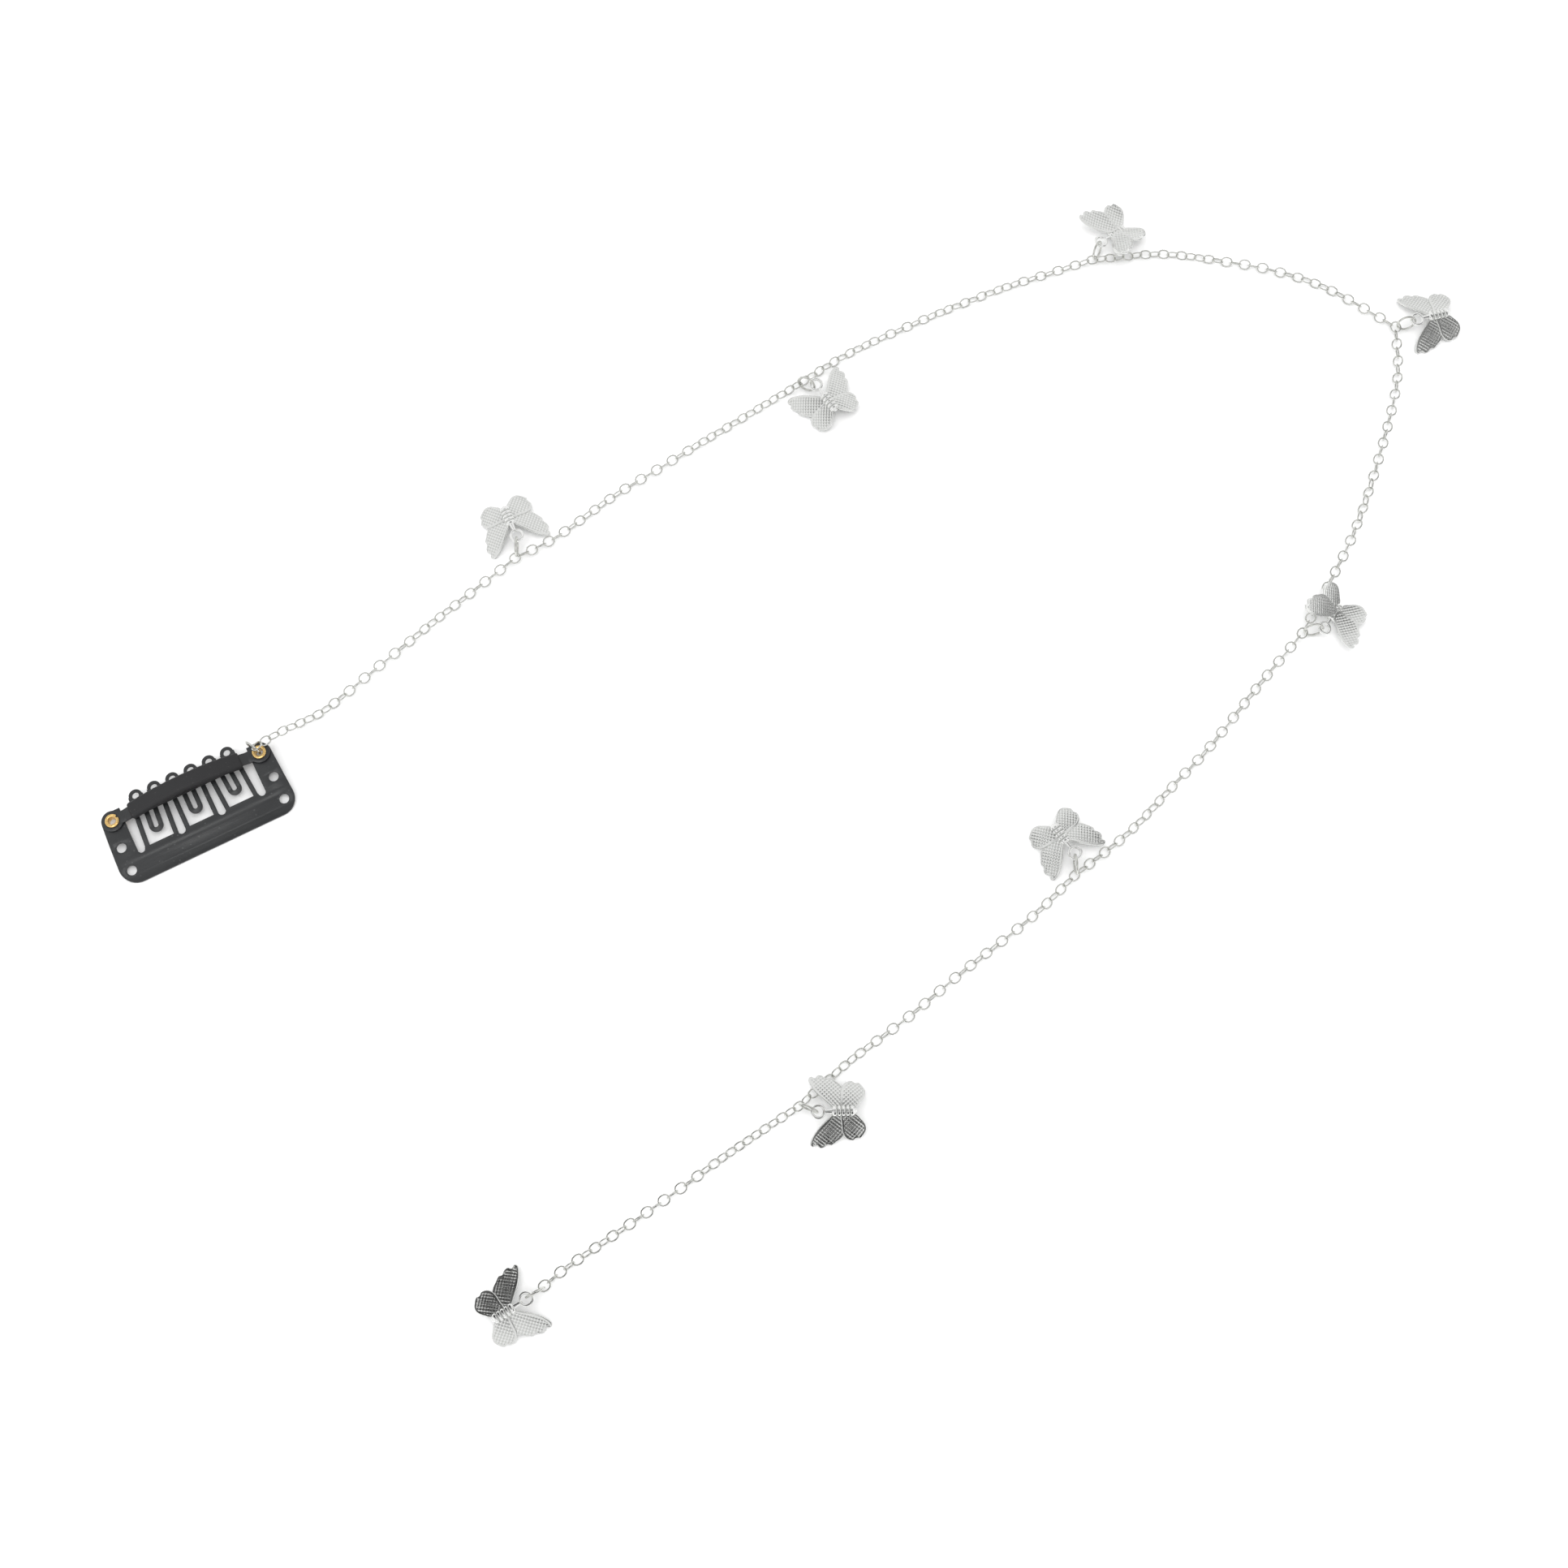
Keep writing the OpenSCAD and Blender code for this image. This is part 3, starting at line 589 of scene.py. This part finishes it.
# Rows over the rim, from the field to the edge: share of its width left and share of its height
RIM_CURVE = ((0.8, 0.55), (0.6, 0.92), (0.4, 1.0), (0.2, 0.86), (0.06, 0.45))
OUTLINE_STEPS = 24
HIDDEN_ROWS = 9
HATCH_PITCH = 0.5
HATCH_DEPTH = 0.032
HATCH_ANGLE = 50
CROSS_SHARE = 0.7
BODY_R, BODY_FLAT = 0.85, 0.72
BODY_LIFT = 0.12
RIB_PITCH = 0.7
RIBS = 5
RIB_GROOVE = 0.24
GROOVE_SHARPNESS = 6
SHOULDER = 0.12
TAIL_R = 0.42
STEM_GAP = 0.05
STEM_R, STEM_END_R, STEM_FLARE = 0.42, 0.26, 0.06
BODY_SIDES, BODY_ROWS, TAIL_ROWS, STEM_ROWS = 40, 81, 8, 12
EYE_REACH = 4.1
EYE_R, EYE_WIRE_R = 1.03, 0.27
EYE_STEPS, EYE_SIDES = 48, 14
FORE_SHAPE = [[0.27, 0.07], [0.46, 0.21], [0.70, 0.41], [0.89, 0.63], [0.99, 0.83], [0.99, 0.93], [0.91, 0.98],
              [0.81, 0.92], [0.71, 1.00], [0.58, 0.98], [0.48, 0.90], [0.36, 0.92], [0.22, 0.83],
              [0.08, 0.74], [-0.04, 0.59], [-0.06, 0.35], [-0.03, 0.07]]
HIND_SHAPE = [[0.09, 0.09], [0.09, 0.44], [0.04, 0.73], [-0.15, 0.94], [-0.41, 1.00], [-0.57, 0.92],
              [-0.74, 0.93], [-0.90, 0.79], [-1.00, 0.63], [-0.95, 0.44], [-0.74, 0.24], [-0.49, 0.09]]
# Outline, reach along the body and to the side, lift, stations round the edge and rows to the middle
WINGS = ((FORE_SHAPE, FORE_L, FORE_W, 0, 190, 34), (HIND_SHAPE, HIND_L, HIND_W, HIND_LIFT, 150, 26))
# How each charm lies, in degrees: where its eye end points, its roll and its pitch
CHARM_LIES = [[268, 1, -3], [99, -5, -3], [192, 184, -12], [168, -3, -3],
              [207, 166, -12], [278, 5, -3], [155, -8, -3], [5, 4, -3]]


def outline_points(shape, length, width, count):
    """A closed smooth curve through the outline's few points, as count equal steps."""
    shape = np.array(shape) * [length, width]
    wrapped = np.concatenate([shape[-2:], shape, shape[:3]])
    path = smooth_path(np.column_stack([wrapped, 0 * wrapped[:, 0]]), OUTLINE_STEPS)
    path = path[2 * OUTLINE_STEPS: (2 + len(shape)) * OUTLINE_STEPS + 1]
    return spaced(path, count + 1)[:-1, :2]


def hatch(xy):
    """Two crossed waves at HATCH_ANGLE to the body, one of them shallower, from -1 to 1."""
    turn = np.radians(HATCH_ANGLE)
    u = xy @ [np.cos(turn), np.sin(turn)]
    v = xy @ [-np.sin(turn), np.cos(turn)]
    waves = np.cos(2 * np.pi * u / HATCH_PITCH) + CROSS_SHARE * np.cos(2 * np.pi * v / HATCH_PITCH)
    return waves / (1 + CROSS_SHARE)


def wing_shell(shape, length, width, lift, count, rows, face_up):
    """A closed shell: its top runs from the middle out to the rim, over the rim, round the edge and
    back to the middle underneath. Each row is the outline drawn towards the middle, and its
    height is a sphere's cap plus the row's own rise and, inside the rim, the hatching. The
    side that is seen has the fine rows."""
    edge = outline_points(shape, length, width, count)
    middle = edge.mean(0)
    along = unit(np.roll(edge, -1, axis=0) - np.roll(edge, 1, axis=0))
    inward = np.stack([-along[:, 1], along[:, 0]], axis=-1)
    rim = RIM_W * (1 + RIM_SPREAD * np.clip(-inward[:, :1], 0, 1))
    field = edge + rim * inward
    shares = np.linspace(0, 1, rows)[1:, None, None]
    few = np.linspace(0, 1, HIDDEN_ROWS)[1:, None, None]
    top_shares, low_shares = (shares, few) if face_up else (few, shares)
    rim_rows = [edge + rim * share * inward for share, _ in RIM_CURVE]
    rim_rise = [RIM_H * height for _, height in RIM_CURVE]
    top = middle + (field - middle) * top_shares
    low = (middle + (field - middle) * low_shares)[::-1]
    rows_xy = np.concatenate([top, rim_rows, [edge, edge], rim_rows[::-1], low])
    rise = np.concatenate([np.zeros(len(top)), rim_rise, [0], np.full(1 + len(rim_rows) + len(low), -WING_T)])
    radius = (width / 2) ** 2 / 2 / CROWN
    flat = np.linalg.norm(rows_xy - middle, axis=-1)
    z = np.sqrt((radius + rise[:, None]) ** 2 - flat ** 2) + CROWN - radius + lift
    in_top = np.arange(len(rows_xy)) < len(top)
    in_low = np.arange(len(rows_xy)) >= len(rows_xy) - len(low)
    fade = np.zeros(len(rows_xy))
    fade[in_top] = np.clip((1 - top_shares[:, 0, 0]) / RIM_FADE, 0, 1)
    fade[in_low] = np.clip((1 - low_shares[::-1, 0, 0]) / RIM_FADE, 0, 1)
    wave = hatch(rows_xy)
    z += HATCH_DEPTH * wave * fade[:, None] * np.where(in_low, -1, 1)[:, None]
    # Painted shade: darkest in the hatching's grooves, with an even share of it on the rim
    painted_shade = RIM_SHADE + (0.5 - 0.5 * wave - RIM_SHADE) * fade[:, None]
    grid = np.concatenate([rows_xy, z[..., None]], axis=-1)
    return closed_shell(grid, painted_shade)


def closed_shell(grid, painted_shade):
    """Points, faces and painted shade of rows of rings, closed at both ends with a fan round a middle point.
    """
    rows, columns = grid.shape[:2]
    last = (rows - 1) * columns
    points = np.concatenate([grid.reshape(-1, 3), grid[:1].mean(1), grid[-1:].mean(1)])
    ring = np.arange(columns)
    after = (ring + 1) % columns
    first_fan = np.stack([after, ring, np.full(columns, rows * columns)], axis=-1)
    last_fan = np.stack([last + ring, last + after, np.full(columns, rows * columns + 1)], axis=-1)
    faces = grid_faces(rows, columns, False) + first_fan.tolist() + last_fan.tolist()
    return points, faces, np.concatenate([painted_shade.ravel(), [0, 0]])


def turned_shell(x, radius, painted_shade):
    """A profile turned round the body's length, and flattened in height."""
    angle = np.arange(BODY_SIDES) * 2 * np.pi / BODY_SIDES
    grid = np.stack([np.repeat(x[:, None], BODY_SIDES, axis=1), radius[:, None] * np.cos(angle),
                     BODY_LIFT + BODY_FLAT * radius[:, None] * np.sin(angle)], axis=-1)
    return closed_shell(grid, np.repeat(painted_shade[:, None], BODY_SIDES, axis=1))


def body_shell():
    """The ribbed body: ribs as a row of rounded waves with narrow grooves, a round tail, and a stem
    that narrows to the eye."""
    end = (RIBS - 1) / 2 * RIB_PITCH
    x = np.linspace(-end - RIB_PITCH / 2, end + RIB_PITCH / 2, BODY_ROWS)
    groove = np.abs(np.sin(np.pi * x / RIB_PITCH)) ** GROOVE_SHARPNESS * (np.abs(x) < end)
    past_ribs = np.clip((np.abs(x) - end) / (RIB_PITCH / 2), 0, 1)
    ribs = BODY_R - RIB_GROOVE * groove - SHOULDER * past_ribs ** 2
    tail = np.radians(np.linspace(8, 80, TAIL_ROWS))
    tail_x = x[0] - TAIL_R * np.cos(tail)
    tail_r = TAIL_R * np.sin(tail)
    stem_x = np.linspace(x[-1] + STEM_GAP, EYE_REACH - EYE_R, STEM_ROWS)
    share = np.linspace(0, 1, STEM_ROWS)
    stem_r = STEM_R + (STEM_END_R - STEM_R) * share + STEM_FLARE * (share - 0.6).clip(0) ** 2
    # The rib grooves carry painted shade too: the deeper the groove, the darker the colour.
    return turned_shell(np.concatenate([tail_x, x, stem_x]), np.concatenate([tail_r, ribs, stem_r]),
                        np.concatenate([0 * tail_x, groove, 0 * stem_x]))


def eye_shell():
    """The eye, a ring of round wire in the wings' plane."""
    turn = np.arange(EYE_STEPS)[:, None] * 2 * np.pi / EYE_STEPS
    angle = np.arange(EYE_SIDES)[None] * 2 * np.pi / EYE_SIDES
    radius = EYE_R + EYE_WIRE_R * np.cos(angle)
    grid = np.stack([EYE_REACH + radius * np.cos(turn), radius * np.sin(turn),
                     EYE_WIRE_R * np.sin(angle) + 0 * turn], axis=-1)
    return grid.reshape(-1, 3), grid_faces(EYE_STEPS, EYE_SIDES, True), np.zeros(EYE_STEPS * EYE_SIDES)


def butterfly_form(face_up):
    """All shells of one charm about its body's middle, with the wings sloping down on each side."""
    slope = np.radians(DROOP)
    shells = [body_shell(), eye_shell()]
    for wing in WINGS:
        points, faces, painted_shade = wing_shell(*wing, face_up)
        x, y, z = points.T
        for side in (1, -1):
            points = np.stack([x, side * (y * np.cos(slope) + z * np.sin(slope)),
                               z * np.cos(slope) - y * np.sin(slope)], axis=-1)
            shells.append((points, faces, painted_shade))
    points, faces, painted_shade, start = [], [], [], 0
    for shell_points, shell_faces, shell_painted_shade in shells:
        faces += [[corner + start for corner in face] for face in outward(shell_points, shell_faces)]
        points.append(shell_points)
        painted_shade.append(shell_painted_shade)
        start += len(shell_points)
    return np.concatenate(points), faces, np.concatenate(painted_shade)


def turned(points, yaw, roll, pitch):
    """Points rolled about X, then pitched about Y, then turned about Z."""
    r, p, w = np.radians([roll, pitch, yaw])
    rolled = np.array([[1, 0, 0], [0, np.cos(r), -np.sin(r)], [0, np.sin(r), np.cos(r)]])
    pitched = np.array([[np.cos(p), 0, np.sin(p)], [0, 1, 0], [-np.sin(p), 0, np.cos(p)]])
    swung = np.array([[np.cos(w), -np.sin(w), 0], [np.sin(w), np.cos(w), 0], [0, 0, 1]])
    return points @ (swung @ pitched @ rolled).T


forms = {face_up: butterfly_form(face_up) for face_up in (True, False)}
for count, (yaw, roll, pitch) in enumerate(CHARM_LIES):
    node = f"butterfly_{count + 1}"
    points, faces, painted_shade = forms[abs(roll) < 90]
    points = turned(points, yaw, roll, pitch)
    low, high = node_box(node)
    points += (low + high) / 2 - (points.min(0) + points.max(0)) / 2
    charm = mesh_piece(f"charm_{node}", points, faces, CAST_SILVER)
    # Painted shade: each point's share of the darkening in the grooves and on the rim, which the silver reads.
    depth = charm.data.attributes.new("painted_shade", "FLOAT", "POINT")
    depth.data.foreach_set("value", painted_shade.astype(np.float32))
    dressed(charm, "silver_plate", node)


# Floor, light and camera
# A plain white floor under soft lamps. The plating mirrors a room that is dim at the horizon and
# overhead, and four dark cards. The camera stands where the photograph was taken from.
FLOOR_SIZE = 4000
EYE_POINT = [42.1, -134.05, 351.9]
AIM_POINT = [90.95, -38.15, 0]
FIELD_OF_VIEW = 40
WING_MIDDLE = 3
# Each card: the charm that mirrors it, its distance from the wing, its size and its grey
CARDS = ((4, 100, 90, 0.12), (5, 70, 70, 0.3), (7, 60, 52, 0.01), (8, 70, 72, 0.01))
# The room's light by the sine of the height above the horizon
ROOM_STEPS = ((0.0, 0.18), (0.08, 0.25), (0.2, 0.9), (0.88, 0.9), (0.97, 0.25))


def floor_finish():
    """Plain white paper with the faintest mottling."""
    paper = Finish("white_paper", 60.0, 2.0, 9.0, IOR=1.3)
    paper.feed("Base Color", paper.mixed(paper.grain.outputs["Cloud"], (0.9, 0.9, 0.9), (0.92, 0.92, 0.92)))
    paper.shader.inputs["Roughness"].default_value = 0.9
    return paper.material


def sheet(name, size, material):
    """A flat square round the origin, facing up."""
    corners = np.array([[-1, -1, 0], [1, -1, 0], [1, 1, 0], [-1, 1, 0]]) * size / 2
    return mesh_piece(name, corners, [[0, 1, 2, 3]], material)


sheet("floor", FLOOR_SIZE, floor_finish())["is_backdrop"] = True


def faced(obj, place, aim):
    """Puts an object at a place with its back to it, so that its -Z looks at the aim."""
    obj.location = Vector(np.array(place) * MM)
    away = obj.location - Vector(np.array(aim) * MM)
    obj.rotation_euler = away.to_track_quat("Z", "Y").to_euler()
    bpy.context.collection.objects.link(obj)
    return obj


def softbox(name, place, aim, size, power, mirrored):
    """A square lamp that faces a point, with its size in millimetres and power in watts. The plating
    shows the lamp itself only if it is mirrored."""
    lamp = bpy.data.lights.new(name, "AREA")
    lamp.size = size * MM
    lamp.energy = power
    faced(bpy.data.objects.new(name, lamp), place, aim).visible_glossy = mirrored


softbox("clip_lamp", [-68, -43, 600], [0, 0, 0], 150, 0.6, True)
clip_only = bpy.data.collections.new("clip_only")
for name in ("comb_plate", "snap_bar", "rubber_sleeve", "eyelet_left", "eyelet_right"):
    clip_only.objects.link(bpy.data.objects[name])
bpy.data.objects["clip_lamp"].light_linking.receiver_collection = clip_only
softbox("overhead", [90, -40, 1400], AIM_POINT, 1200, 12, False)
softbox("left_fill", [-900, 300, 700], AIM_POINT, 700, 5, False)


def dark_card(count, reach, size, tone):
    """A dark card that one wing of a charm mirrors towards the camera, and that nothing else sees.
    It stands along the line of sight d turned by the wing's normal n, d - 2 (d . n) n."""
    low, high = node_box(f"butterfly_{count}")
    slope = np.radians(DROOP)
    normal = turned(np.array([0, np.sin(slope), np.cos(slope)]), *CHARM_LIES[count - 1])
    wing = (low + high) / 2 + turned(np.array([0, WING_MIDDLE, 0]), *CHARM_LIES[count - 1])
    sight = unit(wing - EYE_POINT)
    seen = sight - 2 * (sight @ normal) * normal
    paint = bpy.data.materials.new(f"card_{count}")
    paint.use_nodes = True
    shader = paint.node_tree.nodes["Principled BSDF"]
    shader.inputs["Base Color"].default_value = (tone, tone, tone, 1)
    shader.inputs["Roughness"].default_value = 1
    card = sheet(f"card_{count}", size, paint)
    bpy.context.collection.objects.unlink(card)
    faced(card, wing + reach * seen, wing)
    card.visible_camera = card.visible_diffuse = False
    card.visible_shadow = card.visible_transmission = False
    card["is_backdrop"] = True


for count, reach, size, tone in CARDS:
    dark_card(count, reach, size, tone)


def room_light():
    """The room as the plating mirrors it: dim at the horizon, with bright walls and a dim ceiling. The
    ramp reads the height of the direction, the sine of its elevation."""
    world = bpy.data.worlds.new("room")
    world.use_nodes = True
    nodes, links = world.node_tree.nodes, world.node_tree.links
    way, split, ramp = (nodes.new(kind) for kind in
                        ("ShaderNodeTexCoord", "ShaderNodeSeparateXYZ", "ShaderNodeValToRGB"))
    links.new(way.outputs["Generated"], split.inputs["Vector"])
    links.new(split.outputs["Z"], ramp.inputs["Fac"])
    links.new(ramp.outputs["Color"], nodes["Background"].inputs["Color"])
    while len(ramp.color_ramp.elements) < len(ROOM_STEPS):
        ramp.color_ramp.elements.new(0.5)
    for element, (height, light) in zip(ramp.color_ramp.elements, ROOM_STEPS):
        element.position = height
        element.color = (light, light, light, 1)
    return world


bpy.context.scene.world = room_light()
bpy.context.scene.view_settings.view_transform = "Standard"

lens = bpy.data.cameras.new("camera")
lens.angle = np.radians(FIELD_OF_VIEW)
lens.clip_start, lens.clip_end = 0.01, 10
camera = faced(bpy.data.objects.new("camera", lens), EYE_POINT, AIM_POINT)
bpy.context.scene.camera = camera

low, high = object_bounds()
